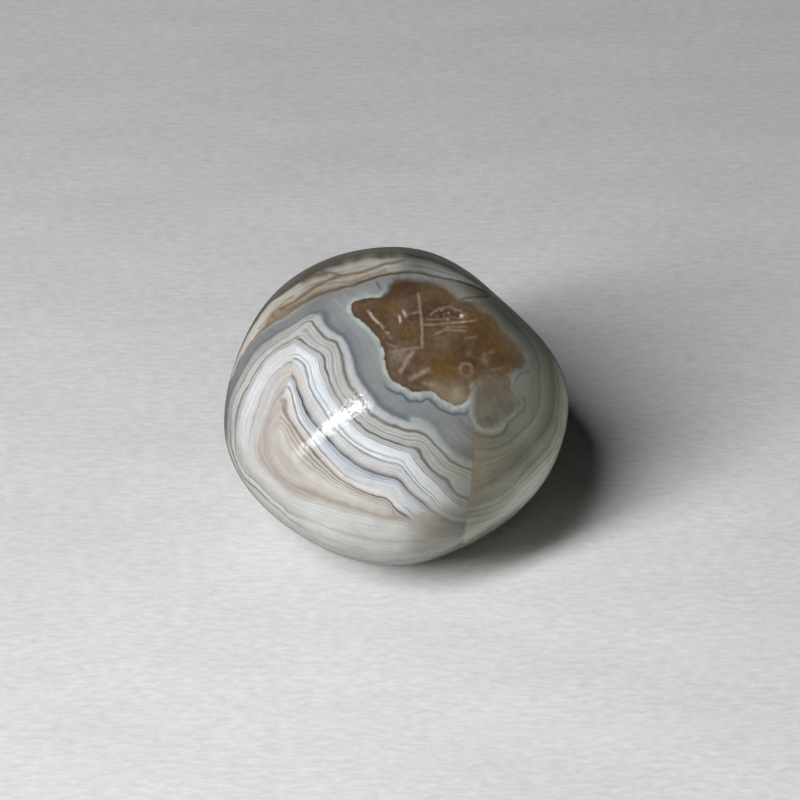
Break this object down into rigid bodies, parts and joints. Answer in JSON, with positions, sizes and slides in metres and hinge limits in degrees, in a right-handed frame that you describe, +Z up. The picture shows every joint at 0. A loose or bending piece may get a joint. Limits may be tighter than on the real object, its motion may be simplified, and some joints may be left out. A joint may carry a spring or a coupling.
{
  "type": "tumbled agate stone",
  "caption": "Palm-sized tumbled crazy lace agate: a rounded, polished stone with softly flattened sides, nested lace bands, a brown quartz pocket and a small flat it rests on.",
  "frame": {"origin": "centre of the stone's bounding box, at the level of the surface it rests on", "axes": "+Z up out of the resting face; +X to the right in the picture, across the stone; +Y away from the picture's camera"},
  "size_m": [0.0298, 0.031, 0.0263],
  "materials": {
    "agate": "polished"
  },
  "bodies": {
    "root": {"agate": "agate"}
  },
  "joints": []
}
